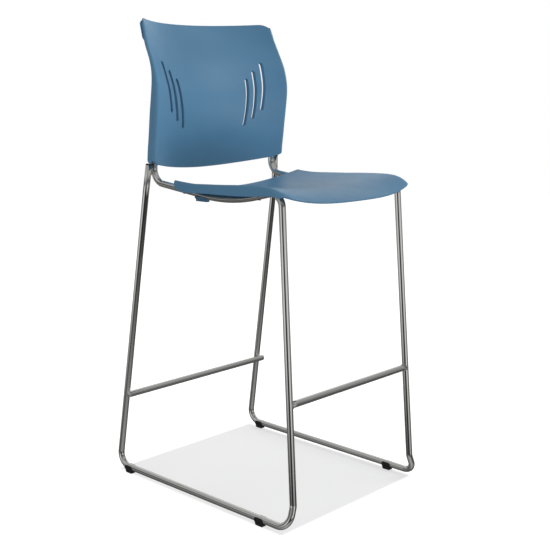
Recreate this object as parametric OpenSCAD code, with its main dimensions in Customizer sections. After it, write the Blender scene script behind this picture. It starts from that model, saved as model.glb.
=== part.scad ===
// Stacking stool on a sled base: two bent tube side frames joined by two footrests,
// a dished seat shell and a concave back shell with curved slots.
// Millimetres, +Z up, the front faces -Y, the sitter's left is +X.

/* [Part] */
// Which piece to draw ("all" draws the whole stool)

/* [Frame tube] */
// Outside diameter of the frame tube
tube_d = 16; // [12:0.5:22]
// Wall thickness of the frame tube
tube_wall = 2; // [1:0.1:3]
// Bend radius where the runner meets the rear leg, on the tube's centre line
rear_floor_bend = 32; // [24:1:40]
// Bend radius where the runner meets the front leg
front_floor_bend = 32; // [24:1:40]
// Bend radius between the upright and the seat rail
rear_seat_bend = 35; // [26:1:40]
// Bend radius between the seat rail and the front leg
front_seat_bend = 30; // [24:1:36]
// Radius of the shallow bow in the seat rail
rail_bow = 500; // [350:10:600]

/* [Footrests] */
// Height of the front footrest's centre line
front_footrest_z = 295; // [220:5:400]
// Height of the rear footrest's centre line
rear_footrest_z = 213; // [160:1:300]
// Half of the rear footrest's length
rear_footrest_half = 248; // [240:1:256]

/* [Shells] */
// Thickness of the seat shell
seat_t = 4; // [3:0.5:6]
// Thickness of the back shell
back_t = 4; // [3:0.5:6]
// Width of the slots in the back
slot_w = 9; // [5:0.5:11]

/* [Feet] */
// Length of a glide along the runner
glide_len = 26; // [20:1:32]

/* [Hidden] */
$fn = 48;
r = tube_d / 2;
ri = r - tube_wall;
chrome = [0.75, 0.75, 0.74];
blue = [0.3, 0.46, 0.6];
black = [0.05, 0.05, 0.055];

// Corner points of the left side frame's centre line, upright first
UP_TOP = [205.5, 160, 965];
UP_BEND = [205.5, 184, 761];
RAIL_MID = [205.5, -87, 729.6];
FRONT_TOP = [206, -245, 767.5];
FRONT_KICK = [219, -294, 64];
FRONT_FLOOR = [238, -298, 15];
REAR_FLOOR = [242, 301, 15];
LEG_KNEE = [227.3, 187, 735];
LEG_TOP = [221.7, 180.3, 801.5];

function unit(v) = v / norm(v);
function along(a, b, z) = a + (b - a) * (z - a[2]) / (b[2] - a[2]);

// Straight piece from a to b
module seg(a, b, rad) {
  d = b - a;
  translate(a) rotate([0, acos(d[2] / norm(d)), atan2(d[1], d[0])]) cylinder(h = norm(d), r = rad);
}

// Bend at corner c, coming from a and going to b
module bend(a, c, b, R, rad) {
  u = unit(a - c);
  w = unit(b - c);
  t = R / tan(acos(u * w) / 2);
  m = unit(u + w);
  cen = c + m * sqrt(t * t + R * R);
  e1 = unit(c + u * t - cen);
  e3 = unit(cross(e1, -u));
  e2 = cross(e3, e1);
  ang = 180 - acos(u * w);
  translate(cen)
    rotate([atan2(e2[2], e3[2]), -asin(e1[2]), atan2(e1[1], e1[0])])
      rotate_extrude(angle = ang) translate([R, 0]) circle(r = rad);
}

PATH = [UP_TOP, UP_BEND, RAIL_MID, FRONT_TOP, FRONT_KICK, FRONT_FLOOR, REAR_FLOOR, LEG_KNEE, LEG_TOP];
RAD = [0, rear_seat_bend, rail_bow, front_seat_bend, 30, front_floor_bend, rear_floor_bend, 200, 0];

// Number of sides of the tube's skin and steps in each bend
SIDES = 16;
STEPS = [0, 10, 6, 10, 3, 9, 9, 3, 0];

// Stations [point, tangent] of the bend at corner i
function bend_stations(i) = let(a = PATH[i - 1], c = PATH[i], b = PATH[i + 1], R = RAD[i],
    u = unit(a - c), w = unit(b - c), t = R / tan(acos(u * w) / 2),
    cen = c + unit(u + w) * sqrt(t * t + R * R), e = unit(c + u * t - cen), ang = 180 - acos(u * w))
  [for (k = [0 : STEPS[i]]) let(q = ang * k / STEPS[i]) [cen + R * (e * cos(q) - u * sin(q)), -e * sin(q) - u * cos(q)]];
STATIONS = concat([[UP_TOP, unit(UP_BEND - UP_TOP)]],
  [for (i = [1 : len(PATH) - 2]) for (q = bend_stations(i)) q],
  [[LEG_TOP, unit(LEG_TOP - LEG_KNEE)]]);

function ring(q, rad) = let(n1 = unit([1, 0, 0] - q[1] * q[1][0]), n2 = cross(q[1], n1))
  [for (j = [0 : SIDES - 1]) q[0] + rad * (cos(360 * j / SIDES) * n1 + sin(360 * j / SIDES) * n2)];

// Hollow tube swept through the stations, open at both ends
module swept(st, ro, rin) {
  m = len(st);
  n = SIDES;
  k = m * n;
  pts = concat([for (q = st) each ring(q, ro)], [for (q = st) each ring(q, rin)]);
  tris = concat(
    [for (i = [0 : m - 2]) for (j = [0 : n - 1]) let(g = (j + 1) % n) each
      [[i * n + j, (i + 1) * n + j, (i + 1) * n + g], [i * n + j, (i + 1) * n + g, i * n + g],
       [k + i * n + j, k + (i + 1) * n + g, k + (i + 1) * n + j], [k + i * n + j, k + i * n + g, k + (i + 1) * n + g]]],
    [for (j = [0 : n - 1]) let(g = (j + 1) % n, e = (m - 1) * n) each
      [[j, g, k + g], [j, k + g, k + j], [e + j, k + e + g, e + g], [e + j, k + e + j, k + e + g]]]);
  polyhedron(pts, tris);
}

// Screw places on the rail: [y, z of the rail's centre line]
SEAT_FIX = [[70, 747.9], [-178, 751.4]];
BACK_FIX = [205.5, 172.35, 860];
FIX_X = 205.6;

module side_frame() {
  color(chrome) difference() {
    union() {
      swept(STATIONS, r, ri);
      // weld beads between the rear leg and the upright
      for (s = [-1, 1]) seg([214.6, 182.4 + 3.4 * s, 777], [213.9, 180.5 + 3.4 * s, 795], 2.6);
    }
    for (p = SEAT_FIX) translate([FIX_X, p[0], p[1] - 12]) cylinder(h = 24, r = 2.2, $fn = 24);
    translate(BACK_FIX - [0, 12, 0]) rotate([-90, 0, 0]) cylinder(h = 24, r = 2.2, $fn = 24);
  }
}

module mirrored() mirror([1, 0, 0]) children();

module footrest_front() {
  p = along(FRONT_TOP, FRONT_KICK, front_footrest_z);
  color(chrome) difference() {
    translate([-p[0], p[1], p[2]]) rotate([0, 90, 0]) cylinder(h = 2 * p[0], r = r);
    translate([-p[0] - 1, p[1], p[2]]) rotate([0, 90, 0]) cylinder(h = 2 * p[0] + 2, r = ri);
    for (s = [0, 1]) mirror([s, 0, 0]) seg(FRONT_TOP, FRONT_KICK, r);
  }
}

// Half outline of the closed end, rounded, for rotate_extrude
function end_half(rad, L, e) = concat([[0, 0], [rad, 0], [rad, L - e]],
  [for (a = [15 : 15 : 75]) [rad - e + e * cos(a), L - e + e * sin(a)]], [[rad - e, L], [0, L]]);

module footrest_rear() {
  p = along(REAR_FLOOR, LEG_KNEE, rear_footrest_z);
  y = p[1] - tube_d - 0.1;
  color(chrome) translate([0, y, p[2]]) difference() {
    union() for (s = [-1, 1]) rotate([0, 90 * s, 0]) rotate_extrude() polygon(end_half(r, rear_footrest_half, 4));
    translate([-rear_footrest_half + 3, 0, 0]) rotate([0, 90, 0]) cylinder(h = 2 * rear_footrest_half - 6, r = ri);
  }
}

module rear_leg_cap() {
  d = unit(LEG_TOP - LEG_KNEE);
  color(black) translate(LEG_TOP) rotate([0, acos(d[2]), atan2(d[1], d[0])]) rotate_extrude()
    polygon([[0, -14], [ri - 0.6, -14], [ri, -12], [ri, 0], [r, 0], [r, 1.4], [r - 0.5, 2.3], [r - 1.8, 2.8], [r - 4.5, 3], [0, 3.1]]);
}

// One glide: a clip around the runner with a flat pad, centred at y on the left runner
module glide(y) {
  a = FRONT_FLOOR;
  b = REAR_FLOOR;
  x = a[0] + (b[0] - a[0]) * (y - a[1]) / (b[1] - a[1]);
  L = glide_len;
  color(black) difference() {
    translate([x, y, 0]) rotate([0, 0, -atan2(b[0] - a[0], b[1] - a[1])]) difference() {
      intersection() {
        union() {
          translate([0, L / 2, 15]) rotate([90, 0, 0]) cylinder(h = L, r = 9.8);
          translate([-6.5, -L / 2, 0]) cube([13, L, 14]);
        }
        // boat-shaped side outline
        translate([-20, 0, 0]) rotate([90, 0, 90]) linear_extrude(40)
          polygon([[-L / 2 + 3, 0], [L / 2 - 3, 0], [L / 2, 5], [L / 2, 16], [L / 2 - 3, 20], [-L / 2 + 3, 20], [-L / 2, 16], [-L / 2, 5]]);
      }
      translate([0, L, 15]) rotate([90, 0, 0]) cylinder(h = 2 * L, r = r + 0.05);
    }
    if (y > 0) bend(FRONT_FLOOR, REAR_FLOOR, LEG_KNEE, rear_floor_bend, r + 0.05);
  }
}

// Half section of the seat: [x, drop below the surface] of the outer and inner skins
SEAT_X = [0, 20, 42, 64, 86, 108, 130, 150, 168, 184, 198, 209, 217];
// Rows from rear to front: [y, bow at the middle, rim height, middle height, flange, half width, rise power, corner, lean]
SEAT_ROWS = [
  [91, 13, 770.8, 742, 21, 221.5, 1.8, 0, 4], [83, 10, 769.6, 741, 21, 222.3, 1.8, 0, 3],
  [71, 6, 768.4, 740, 21.3, 223.3, 1.8, 0, 1.3], [52, 2.5, 767.3, 738.5, 22.2, 224.7, 1.8, 0, 0],
  [28, 0.5, 767, 737.5, 22.3, 225.8, 1.8, 0, 0], [0, 0, 768, 737.5, 22.2, 226.4, 1.8, 0, 0],
  [-36, 0, 769.5, 740, 22.4, 226.5, 1.8, 0, 0], [-72, 0, 771, 744, 23.5, 226.5, 1.8, 0, 0],
  [-108, 0, 773, 749, 25, 226.5, 1.8, 0, 0], [-140, 0, 774.5, 753.5, 25.3, 226.5, 1.8, 0, 0],
  [-168, 0, 775.5, 756.3, 24.6, 226.5, 1.8, 0, 0], [-192, -0.5, 776, 757, 23.3, 226.5, 1.82, 0.02, 0],
  [-208, -3, 775.8, 756.6, 21.9, 226.5, 1.95, 0.13, 0], [-224.5, -7.2, 774.8, 754.9, 19.5, 226.5, 2.23, 0.31, 0],
  [-239, -12.2, 772.5, 751.8, 16.5, 226.5, 2.55, 0.5, 0], [-252, -17.3, 768.8, 747.5, 12.4, 226.5, 2.88, 0.68, 0],
  [-263.5, -22.1, 763.9, 742.5, 8, 226.5, 3.2, 0.85, 0], [-273, -26.5, 758.4, 737.2, 6, 226.5, 3.5, 1, 0]];
// Plan radius of the two front corners
CORNER = 23;

function seat_z(row, x) = row[3] + (row[2] - row[3]) * pow(min(x, 222) / 222, row[6]);
function seat_y(row, x) = let(c = max(0, min(x, 226.5) - 226.5 + CORNER))
  row[0] + row[1] * (1 - pow(min(x, 222) / 222, 2)) + row[7] * (CORNER - sqrt(CORNER * CORNER - c * c));
function seat_x(row, x) = x * row[5] / 226.5;
// Outer skin, from the middle to the flange's lower edge
function seat_outer(row) = concat(
  [for (x = SEAT_X) [seat_x(row, x), seat_y(row, x), seat_z(row, x)]],
  [[seat_x(row, 221.5), seat_y(row, 221.5), row[2] - 0.4], [seat_x(row, 224), seat_y(row, 224), row[2] - 1.8],
   [seat_x(row, 225.4), seat_y(row, 225.4), row[2] - 4], [seat_x(row, 226.5), seat_y(row, 226.5) - row[8], row[2] - row[4]]]);
function seat_inner(row) = concat(
  [for (x = SEAT_X) [seat_x(row, x), seat_y(row, x), seat_z(row, x) - seat_t]],
  [[seat_x(row, 219), seat_y(row, 221.5), row[2] - seat_t - 0.4], [seat_x(row, 220.6), seat_y(row, 224), row[2] - seat_t - 0.8],
   [seat_x(row, 221.6), seat_y(row, 225.4), row[2] - seat_t - 1.4], [seat_x(row, 223), seat_y(row, 226.5) - row[8], row[2] - row[4]]]);
function both_ways(h) = let(n = len(h)) concat([for (i = [n - 1 : -1 : 1]) [-h[i][0], h[i][1], h[i][2]]], h);

// Closed skin between two grids of the same size, outer rows and inner rows
module skin(outer, inner) {
  m = len(outer);
  n = len(outer[0]);
  pts = concat([for (row = outer) for (p = row) p], [for (row = inner) for (p = row) p]);
  k = m * n;
  tris = concat(
    [for (i = [0 : m - 2]) for (j = [0 : n - 2]) [i * n + j, i * n + j + 1, (i + 1) * n + j + 1]],
    [for (i = [0 : m - 2]) for (j = [0 : n - 2]) [i * n + j, (i + 1) * n + j + 1, (i + 1) * n + j]],
    [for (i = [0 : m - 2]) for (j = [0 : n - 2]) [k + i * n + j, k + (i + 1) * n + j + 1, k + i * n + j + 1]],
    [for (i = [0 : m - 2]) for (j = [0 : n - 2]) [k + i * n + j, k + (i + 1) * n + j, k + (i + 1) * n + j + 1]],
    [for (j = [0 : n - 2]) [j, k + j, k + j + 1]],
    [for (j = [0 : n - 2]) [j, k + j + 1, j + 1]],
    [for (j = [0 : n - 2]) [(m - 1) * n + j, k + (m - 1) * n + j + 1, k + (m - 1) * n + j]],
    [for (j = [0 : n - 2]) [(m - 1) * n + j, (m - 1) * n + j + 1, k + (m - 1) * n + j + 1]],
    [for (i = [0 : m - 2]) [i * n, (i + 1) * n, k + (i + 1) * n]],
    [for (i = [0 : m - 2]) [i * n, k + (i + 1) * n, k + i * n]],
    [for (i = [0 : m - 2]) [i * n + n - 1, k + (i + 1) * n + n - 1, (i + 1) * n + n - 1]],
    [for (i = [0 : m - 2]) [i * n + n - 1, k + i * n + n - 1, k + (i + 1) * n + n - 1]]);
  polyhedron(pts, tris);
}

module seat_shell() {
  color(blue) difference() {
    union() {
      skin([for (row = SEAT_ROWS) both_ways(seat_outer(row))], [for (row = SEAT_ROWS) both_ways(seat_inner(row))]);
      // bosses that stand on the rails
      for (s = [-1, 1]) {
        translate([s * FIX_X, SEAT_FIX[0][0], 744]) cylinder(h = 18.4, r = 10);
        translate([s * FIX_X, SEAT_FIX[1][0], 750]) cylinder(h = 21.5, r = 10);
      }
    }
    for (s = [0, 1]) mirror([s, 0, 0]) {
      seg([205.5, 120, 753.53], [205.5, 20, 741.95], r + 0.05);
      seg([205.73, -160, 747.1], [205.9, -215, 760.3], r + 0.05);
      for (p = SEAT_FIX) translate([FIX_X, p[0], p[1]]) cylinder(h = 12, r = 2, $fn = 24);
    }
  }
}

// Back rows from bottom to top: [height, rim y, depth of the hollow at the middle, flange, half width]
BACK_ROWS = [
  [806, 153.2, 71.8, 26.6, 227.4], [818, 152.2, 66.8, 26.4, 227.5], [832, 151.2, 61.3, 26, 227.6], [850, 149, 55.8, 25.5, 227.7],
  [870, 146.5, 51.4, 25.4, 227.7], [892, 144, 48.8, 25.2, 227.8], [914, 141.3, 48.5, 25.2, 228.1], [936, 138.6, 50.6, 24.7, 228.5],
  [956, 136.3, 54.9, 23.7, 228.8], [976, 134.9, 60.1, 22.3, 229], [994, 135.6, 65.4, 19.7, 229], [1012, 138.6, 70.4, 15.9, 229.1],
  [1030, 143.3, 73.7, 12.8, 229], [1050, 151.4, 76, 10.4, 228.6], [1070, 160.9, 80, 9.2, 227.8], [1090, 170.4, 84.4, 8.6, 226.6],
  [1108, 177.7, 89.6, 10, 224.5], [1124, 183.9, 93.9, 11.8, 222.7], [1137, 189.2, 97, 13.7, 221.6], [1148, 194.3, 99.2, 13.7, 221.6]];
BACK_LOW = [780, 154, 83.3, 26.6, 227.4];
BACK_X = [0, 22, 44, 66, 88, 108, 128, 146, 164, 180, 187, 192, 195, 198.5, 202.5, 206.5, 209.5, 212.4, 218];

function hollow(x) = 1 - pow(min(x, 225) / 225, 2.14);
function n_rows() = len(BACK_ROWS);
// Edge heights: the lower edge sags to the middle, the corners are round
function low_z(x) = 806 - 25.3 * (1 - pow(x / 225, 1.9)) + (x > 195 ? 0.3 * (30 - sqrt(900 - pow(min(x, 225) - 195, 2))) : 0);
function high_z(x) = 1151.5 - 7 * (1 - pow(x / 225, 2)) - (x > 199 ? 26 - sqrt(max(0, 676 - pow(min(x, 225) - 199, 2))) : 0);
function row_z(i, x) = let(z = BACK_ROWS[i][0], f = (z - 806) / 342) low_z(x) + (high_z(x) - low_z(x)) * f;
function look(z, c) = lookup(z, concat([[BACK_LOW[0], BACK_LOW[c]]], [for (q = BACK_ROWS) [q[0], q[c]]]));
function wide(z, x) = x * look(z, 4) / 226.5;
function back_pt(i, x, dy) = let(z = row_z(i, x)) [wide(z, x), look(z, 1) + look(z, 2) * hollow(x) + dy, z];
// Middle and free edge of the side flange, which reaches a little lower at the foot and higher at the top
function reach(i) = [0, 0, 11 * max(0, (BACK_ROWS[i][0] - 806) / 34.2 - 9) - 7.5 * max(0, 1 - i / 3)];
function mid_pt(i, x, dy) = rim_pt(i, x, (dy + look(row_z(i, 224), 3)) / 2) + 0.8 * reach(i);
function edge_pt(i, x) = rim_pt(i, x, look(row_z(i, 224), 3)) + reach(i);
function rim_pt(i, x, dy) = let(z = row_z(i, min(x, 224))) [wide(z, x), look(z, 1) + dy, z];
// Thickness at a point: the sheet, or the sleeve around the upright where that reaches further back
function thick(i, x) = let(p = back_pt(i, x, 0), d = p[0] - 205.5)
  i > 9 || abs(d) > 10.2 ? back_t : max(back_t, 184 - (p[2] - 761) * 24 / 204 + sqrt(104.04 - d * d) - p[1]);
function back_outer(i) = concat([for (x = BACK_X) back_pt(i, x, 0)],
  [back_pt(i, 222.5, 0.4), rim_pt(i, 225.4, 2.4), mid_pt(i, 226, 2.4), edge_pt(i, 226.5)]);
function back_inner(i) = concat([for (x = BACK_X) back_pt(i, x, thick(i, x))],
  [back_pt(i, 220.3, back_t + 0.4), rim_pt(i, 222.4, back_t + 1.6), mid_pt(i, 222.7, back_t + 1.6), edge_pt(i, 223)]);
function flip(g) = [for (row = g) [for (j = [len(row) - 1 : -1 : 0]) row[j]]];

// Slots: centre line points [x, z], seen from the front
SLOTS = [[[170.2, 1044], [169.1, 1030], [167.2, 1010], [165, 990], [162.5, 970], [159.7, 950], [156.7, 930]],
         [[144.8, 1023], [143.1, 1005], [141.1, 985], [138.9, 965], [136.6, 945], [134, 925], [131.7, 908]],
         [[120.5, 1003], [118.4, 985], [116.2, 965], [113.8, 945], [111.4, 925], [108.9, 905], [107, 890]]];

module slot(c, h) {
  n = len(c);
  translate([0, 290, 0]) rotate([90, 0, 0]) linear_extrude(200)
    polygon(concat([for (p = c) p + [h, 0]],
      [for (a = [-30 : -30 : -150]) c[n - 1] + h * [cos(a), sin(a)]],
      [for (i = [n - 1 : -1 : 0]) c[i] - [h, 0]],
      [for (a = [150 : -30 : 30]) c[0] + h * [cos(a), sin(a)]]));
}

// Low collar behind the shell around each slot
COLLAR_X = [90, 108, 128, 146, 164, 180, 190];
module collars() intersection() {
  skin(flip([for (i = [2 : 15]) [for (x = COLLAR_X) back_pt(i, x, back_t - 0.8)]]), flip([for (i = [2 : 15]) [for (x = COLLAR_X) back_pt(i, x, back_t + 6.4)]]));
  union() for (c = SLOTS) slot(c, slot_w / 2 + 2.6);
}

module back_shell() {
  color(blue) difference() {
    union() {
      skin(flip([for (i = [0 : n_rows() - 1]) both_ways(back_outer(i))]), flip([for (i = [0 : n_rows() - 1]) both_ways(back_inner(i))]));
      for (s = [0, 1]) mirror([s, 0, 0]) collars();
    }
    for (s = [0, 1]) mirror([s, 0, 0]) {
      seg([205.5, 182.3, 775.4], UP_TOP, r + 0.05);
      // room for the rear leg's capped end
      seg(LEG_KNEE, LEG_TOP + 3.8 * unit(LEG_TOP - LEG_KNEE), r + 0.5);
      translate(BACK_FIX) rotate([-90, 0, 0]) cylinder(h = 14, r = 2.2, $fn = 24);
      for (c = SLOTS) slot(c, slot_w / 2);
    }
  }
}

// Keel under the lowest stretch of the rail, with a saddle that hugs the tube
module bumper() {
  color(blue) difference() {
    translate([205.5, 25, 0]) rotate([90, 0, 0]) linear_extrude(36)
      polygon([[-4.6, 725.2], [4.6, 725.2], [5.4, 731], [8.8, 732.5], [8.8, 736.5], [-8.8, 736.5], [-8.8, 732.5], [-5.4, 731]]);
    seg([205.5, 60, 746.6], [205.5, 0, 739.65], r + 0.05);
    bend(UP_BEND, RAIL_MID, FRONT_TOP, rail_bow, r + 0.05);
  }
}

module screw_up(p, L) translate(p) rotate_extrude($fn = 32) polygon([[0, 0], [2.7, 0], [3.3, 0.5], [3.3, 1], [2, 1], [2, L], [0, L]]);

module seat_screws() color(black) for (s = [0, 1]) mirror([s, 0, 0]) for (p = SEAT_FIX) screw_up([FIX_X, p[0], p[1] - r - 1.1], 20.8);

module back_screws() color(black) for (s = [0, 1]) mirror([s, 0, 0])
  translate(BACK_FIX + [0, 11.4, 0]) rotate([90, 0, 0]) screw_up([0, 0, 0], 17);

side_frame();  // side_frame_left
mirrored() side_frame();  // side_frame_right
footrest_front();
footrest_rear();
rear_leg_cap();  // rear_leg_cap_left
mirrored() rear_leg_cap();  // rear_leg_cap_right
glide(-211);  // glide_front_left
mirrored() glide(-211);  // glide_front_right
glide(259);  // glide_rear_left
mirrored() glide(259);  // glide_rear_right
seat_shell();
back_shell();
bumper();  // bumper_left
mirrored() bumper();  // bumper_right
seat_screws();
back_screws();
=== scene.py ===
import math

import bpy
import bmesh
import numpy as np
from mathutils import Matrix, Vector
from mathutils.geometry import delaunay_2d_cdt


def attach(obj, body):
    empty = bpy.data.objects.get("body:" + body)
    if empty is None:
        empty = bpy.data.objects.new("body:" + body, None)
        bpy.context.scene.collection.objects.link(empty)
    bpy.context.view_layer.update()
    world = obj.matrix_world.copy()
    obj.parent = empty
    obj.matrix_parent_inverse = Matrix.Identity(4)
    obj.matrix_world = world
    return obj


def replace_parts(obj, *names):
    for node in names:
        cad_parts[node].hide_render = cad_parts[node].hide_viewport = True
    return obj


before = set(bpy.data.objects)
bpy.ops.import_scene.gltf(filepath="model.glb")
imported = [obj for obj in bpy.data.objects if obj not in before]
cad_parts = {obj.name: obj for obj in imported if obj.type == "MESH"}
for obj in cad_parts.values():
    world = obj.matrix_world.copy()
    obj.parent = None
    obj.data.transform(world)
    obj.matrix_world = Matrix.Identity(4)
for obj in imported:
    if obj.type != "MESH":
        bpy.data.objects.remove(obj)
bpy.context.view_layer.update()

MM = 0.001
scene = bpy.context.scene

# ---------------------------------------------------------------- camera
cam_data = bpy.data.cameras.new("camera")
cam_data.lens = 65.82
cam_data.sensor_width = 36
cam_data.sensor_fit = "HORIZONTAL"
cam = bpy.data.objects.new("camera", cam_data)
scene.collection.objects.link(cam)
cam.location = (-1.78205, -1.71996, 0.99298)
cam.rotation_euler = (math.radians(79.27), 0, math.radians(-46.52))
scene.camera = cam
scene.view_settings.view_transform = "Standard"
scene.view_settings.look = "None"


# ---------------------------------------------------------------- materials
def new_mat(name):
    m = bpy.data.materials.new(name)
    m.use_nodes = True
    nt = m.node_tree
    return m, nt, nt.nodes["Principled BSDF"]


def node(nt, kind, **values):
    n = nt.nodes.new(kind)
    for k, v in values.items():
        if k in n.inputs:
            n.inputs[k].default_value = v
        else:
            setattr(n, k, v)
    return n


def coords(nt):
    return node(nt, "ShaderNodeTexCoord").outputs["Object"]


def noise(nt, scale, detail=3.0, rough=0.5):
    n = node(nt, "ShaderNodeTexNoise", Scale=scale, Detail=detail, Roughness=rough)
    nt.links.new(coords(nt), n.inputs["Vector"])
    return n.outputs["Fac"]


def ramp(nt, src, a, b, lo=0.3, hi=0.7):
    n = node(nt, "ShaderNodeMapRange")
    for k, v in (("From Min", lo), ("From Max", hi), ("To Min", a), ("To Max", b)):
        n.inputs[k].default_value = v
    nt.links.new(src, n.inputs["Value"])
    return n.outputs["Result"]


def colours(nt, src, a, b, lo=0.3, hi=0.7):
    n = node(nt, "ShaderNodeValToRGB")
    n.color_ramp.elements[0].position = lo
    n.color_ramp.elements[0].color = (*a, 1)
    n.color_ramp.elements[1].position = hi
    n.color_ramp.elements[1].color = (*b, 1)
    nt.links.new(src, n.inputs["Fac"])
    return n.outputs["Color"]


def bump(nt, src, dist, strength, below=None):
    n = node(nt, "ShaderNodeBump", Strength=strength, Distance=dist)
    nt.links.new(src, n.inputs["Height"])
    if below:
        nt.links.new(below, n.inputs["Normal"])
    return n.outputs["Normal"]


def chrome():
    m, nt, p = new_mat("chrome")
    p.inputs["Metallic"].default_value = 1.0
    nt.links.new(colours(nt, noise(nt, 9, 2), (0.85, 0.845, 0.815), (0.89, 0.885, 0.86)), p.inputs["Base Color"])
    nt.links.new(ramp(nt, noise(nt, 60, 5, 0.6), 0.05, 0.11), p.inputs["Roughness"])
    nt.links.new(bump(nt, noise(nt, 700, 2), 0.00002, 0.25), p.inputs["Normal"])
    return m


def weld_chrome():
    m, nt, p = new_mat("weld_chrome")
    p.inputs["Metallic"].default_value = 1.0
    nt.links.new(colours(nt, noise(nt, 300, 3), (0.62, 0.61, 0.58), (0.80, 0.79, 0.76)), p.inputs["Base Color"])
    nt.links.new(ramp(nt, noise(nt, 500, 4), 0.12, 0.3), p.inputs["Roughness"])
    nt.links.new(bump(nt, noise(nt, 900, 3), 0.0001, 0.5), p.inputs["Normal"])
    return m


def blue_plastic(name="blue_plastic", k=1.0):
    m, nt, p = new_mat(name)
    # k scales the base colour; below 1 it makes a darker copy of the same blue, used as painted shade
    nt.links.new(colours(nt, noise(nt, 7, 4, 0.55), (0.089 * k, 0.242 * k, 0.405 * k), (0.099 * k, 0.262 * k, 0.435 * k)), p.inputs["Base Color"])
    nt.links.new(ramp(nt, noise(nt, 35, 5, 0.6), 0.36, 0.44), p.inputs["Roughness"])
    p.inputs["IOR"].default_value = 1.5
    p.inputs["Specular IOR Level"].default_value = 0.8
    grain = bump(nt, noise(nt, 1500, 3, 0.6), 0.00006, 0.5)
    nt.links.new(bump(nt, noise(nt, 420, 2), 0.00006, 0.25, grain), p.inputs["Normal"])
    return m


def black_plastic(name="black_plastic", scale=900):
    m, nt, p = new_mat(name)
    nt.links.new(colours(nt, noise(nt, 90, 4), (0.006, 0.006, 0.0065), (0.014, 0.014, 0.015)), p.inputs["Base Color"])
    nt.links.new(ramp(nt, noise(nt, 160, 4), 0.42, 0.62), p.inputs["Roughness"])
    nt.links.new(bump(nt, noise(nt, scale, 3), 0.00008, 0.45), p.inputs["Normal"])
    return m


def screw_metal():
    m, nt, p = new_mat("screw_metal")
    p.inputs["Metallic"].default_value = 0.9
    nt.links.new(colours(nt, noise(nt, 400, 4), (0.03, 0.03, 0.033), (0.07, 0.07, 0.072)), p.inputs["Base Color"])
    nt.links.new(ramp(nt, noise(nt, 700, 4), 0.3, 0.5), p.inputs["Roughness"])
    nt.links.new(bump(nt, noise(nt, 1200, 2), 0.00005, 0.3), p.inputs["Normal"])
    return m


CHROME, WELD, BLUE, BLACK, SCREW = chrome(), weld_chrome(), blue_plastic(), black_plastic(), screw_metal()
# painted shade: a copy of the shell's blue at 0.6 of its brightness, standing for the shade under the seat where the
# bumpers hang
SHADE_DARKENED_BLUE = blue_plastic("bumper_plastic_painted_shade", 0.6)


# ---------------------------------------------------------------- mesh helpers
def unit(v):
    v = np.asarray(v, float)
    return v / np.linalg.norm(v, axis=-1, keepdims=True)


def piece(name, verts, faces, mat, slot, mirror=False):
    """A closed mesh from points in millimetres, smooth shaded, that rides on the stool."""
    v = np.array(verts, float) * MM
    if mirror:
        v = v * [-1, 1, 1]
    me = bpy.data.meshes.new(name)
    me.from_pydata(v.tolist(), [], [list(f) for f in faces])
    bm = bmesh.new()
    bm.from_mesh(me)
    bmesh.ops.recalc_face_normals(bm, faces=bm.faces)
    bm.to_mesh(me)
    bm.free()
    me.polygons.foreach_set("use_smooth", [True] * len(me.polygons))
    me.materials.append(mat)
    me.update()
    o = bpy.data.objects.new(name, me)
    scene.collection.objects.link(o)
    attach(o, "root")
    return o


def join(*parts):
    verts, faces = [], []
    for v, f in parts:
        k = len(verts)
        verts += [tuple(p) for p in v]
        faces += [[i + k for i in q] for q in f]
    return verts, faces


def rings_mesh(rings, cap_a=True, cap_b=True, closed=False):
    """Skin over rings of the same length."""
    n = len(rings[0])
    verts = [p for r in rings for p in r]
    faces = []
    m = len(rings)
    for i in range(m if closed else m - 1):
        a, b = i * n, ((i + 1) % m) * n
        for j in range(n):
            g = (j + 1) % n
            faces.append([a + j, b + j, b + g, a + g])
    if not closed and cap_a:
        faces.append(list(range(n)))
    if not closed and cap_b:
        faces.append([(m - 1) * n + j for j in range(n)][::-1])
    return verts, faces


def ring(p, t, rad, sides):
    t = unit(t)
    ex = np.array([1.0, 0, 0]) if abs(t[0]) < 0.9 else np.array([0, 0, 1.0])
    n1 = unit(ex - t * np.dot(ex, t))
    n2 = np.cross(t, n1)
    a = np.arange(sides) * 2 * math.pi / sides
    return [p + rad * (math.cos(q) * n1 + math.sin(q) * n2) for q in a]


def bend_at(a, c, b, R, step=2.5):
    """Points and tangents of the bend at corner c."""
    u, w = unit(a - c), unit(b - c)
    half = math.acos(float(np.dot(u, w))) / 2
    t = R / math.tan(half)
    cen = c + unit(u + w) * math.sqrt(t * t + R * R)
    e = unit(c + u * t - cen)
    ang = math.pi - 2 * half
    k = max(4, int(math.degrees(ang) / step + 1))
    return [(cen + R * (e * math.cos(q) - u * math.sin(q)), -e * math.sin(q) - u * math.cos(q)) for q in np.linspace(0, ang, k + 1)]


def route(pts, rads):
    """Stations along a bent tube, with extra rings close to each bend."""
    pts = [np.array(p, float) for p in pts]
    out = [(pts[0], unit(pts[1] - pts[0]))]
    for i in range(1, len(pts) - 1):
        arc = bend_at(pts[i - 1], pts[i], pts[i + 1], rads[i])
        (p0, t0), (p1, t1) = arc[0], arc[-1]
        out += [(p0 - t0 * 4, t0), (p0 - t0 * 0.8, t0)] + arc + [(p1 + t1 * 0.8, t1), (p1 + t1 * 4, t1)]
    out.append((pts[-1], unit(pts[-1] - pts[-2])))
    return out


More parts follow.
